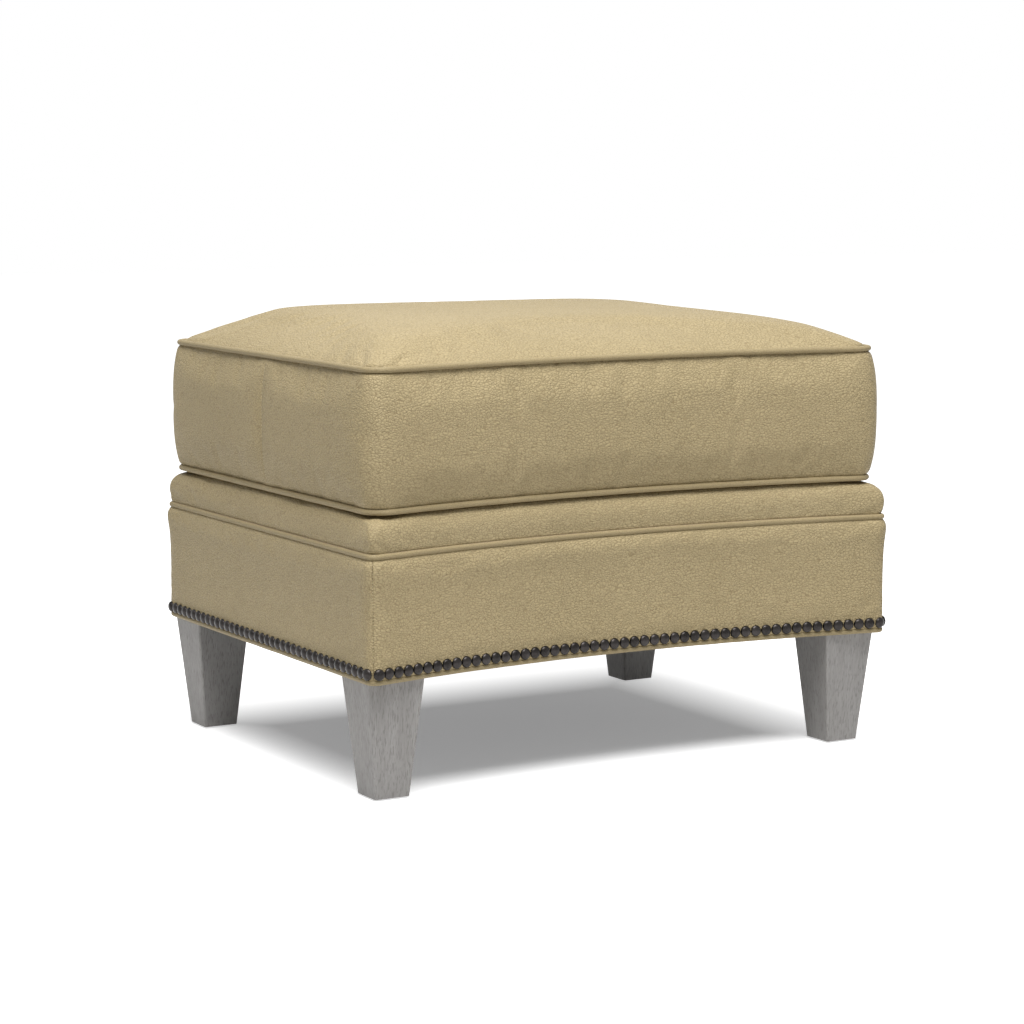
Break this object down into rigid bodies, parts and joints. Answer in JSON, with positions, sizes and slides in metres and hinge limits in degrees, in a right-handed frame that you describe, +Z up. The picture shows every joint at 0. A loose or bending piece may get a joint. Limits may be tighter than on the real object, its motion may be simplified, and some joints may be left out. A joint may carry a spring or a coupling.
{
  "type": "upholstered footstool",
  "caption": "Rectangular leather footstool with a concave front, boxed and welted loose cushion, padded roll, nailed lower band and square tapered legs.",
  "frame": {"origin": "on the floor, under the centre of the whole stool's width and depth", "axes": "+X along the width, to the right seen from the front; +Y from the concave front to the convex back; +Z up"},
  "size_m": [0.724, 0.6046, 0.5285],
  "materials": {
    "hide": "semi-matte pebbled aniline-look hide, khaki olive",
    "leg_wood": "grey wash over open vertical grain",
    "glide_nylon": "moulded nylon",
    "zinc_steel": "zinc plated",
    "frame_wood": "sawn hardwood",
    "jute_webbing": "woven jute",
    "fibre_strip": "pressed fibre strip",
    "burlap": "open woven jute cloth",
    "foam": "polyurethane foam",
    "batting": "polyester batting",
    "deck_cloth": "close woven platform cloth",
    "dust_cloth": "black non-woven cloth",
    "nail_metal": "black nickel, worn on the domes",
    "zip": "woven tape with nylon coil",
    "zip_metal": "antique brass finish"
  },
  "bodies": {
    "base": {"back_left_block": "frame_wood", "back_left_leg": "leg_wood", "back_rail": "frame_wood", "back_right_block": "frame_wood", "back_right_leg": "leg_wood", "band_back": "hide", "band_front": "hide", "band_left": "hide", "band_padding": "batting", "band_right": "hide", "base_welt": "hide", "bottom_welt": "hide", "centre_stretcher": "frame_wood", "deck_burlap": "burlap", "deck_cover": "deck_cloth", "deck_pad": "foam", "dust_cover": "dust_cloth", "frame_dowels": "frame_wood", "front_left_block": "frame_wood", "front_left_leg": "leg_wood", "front_rail": "frame_wood", "front_right_block": "frame_wood", "front_right_leg": "leg_wood", "hanger_bolts": "zinc_steel", "left_rail": "frame_wood", "leg_glides": "glide_nylon", "nail_trim": "nail_metal", "right_rail": "frame_wood", "roll_cover": "hide", "roll_filling": "foam", "tack_strip": "fibre_strip", "tee_nuts": "zinc_steel", "webbing_cross_1": "jute_webbing", "webbing_cross_2": "jute_webbing", "webbing_cross_3": "jute_webbing", "webbing_cross_4": "jute_webbing", "webbing_long_1": "jute_webbing", "webbing_long_2": "jute_webbing", "webbing_long_3": "jute_webbing", "webbing_long_4": "jute_webbing", "webbing_long_5": "jute_webbing"},
    "cushion": {"cushion_back_band": "hide", "cushion_bottom_panel": "hide", "cushion_bottom_welt": "hide", "cushion_foam": "foam", "cushion_front_band": "hide", "cushion_top_panel": "hide", "cushion_top_welt": "hide", "cushion_wrap": "batting", "cushion_zip": "zip", "zip_slider": "zip_metal"}
  },
  "joints": [
    {"name": "cushion_lift", "type": "slide", "parent": "base", "child": "cushion", "axis": [0, 0, 1], "range_m": [0, 0.2]}
  ]
}
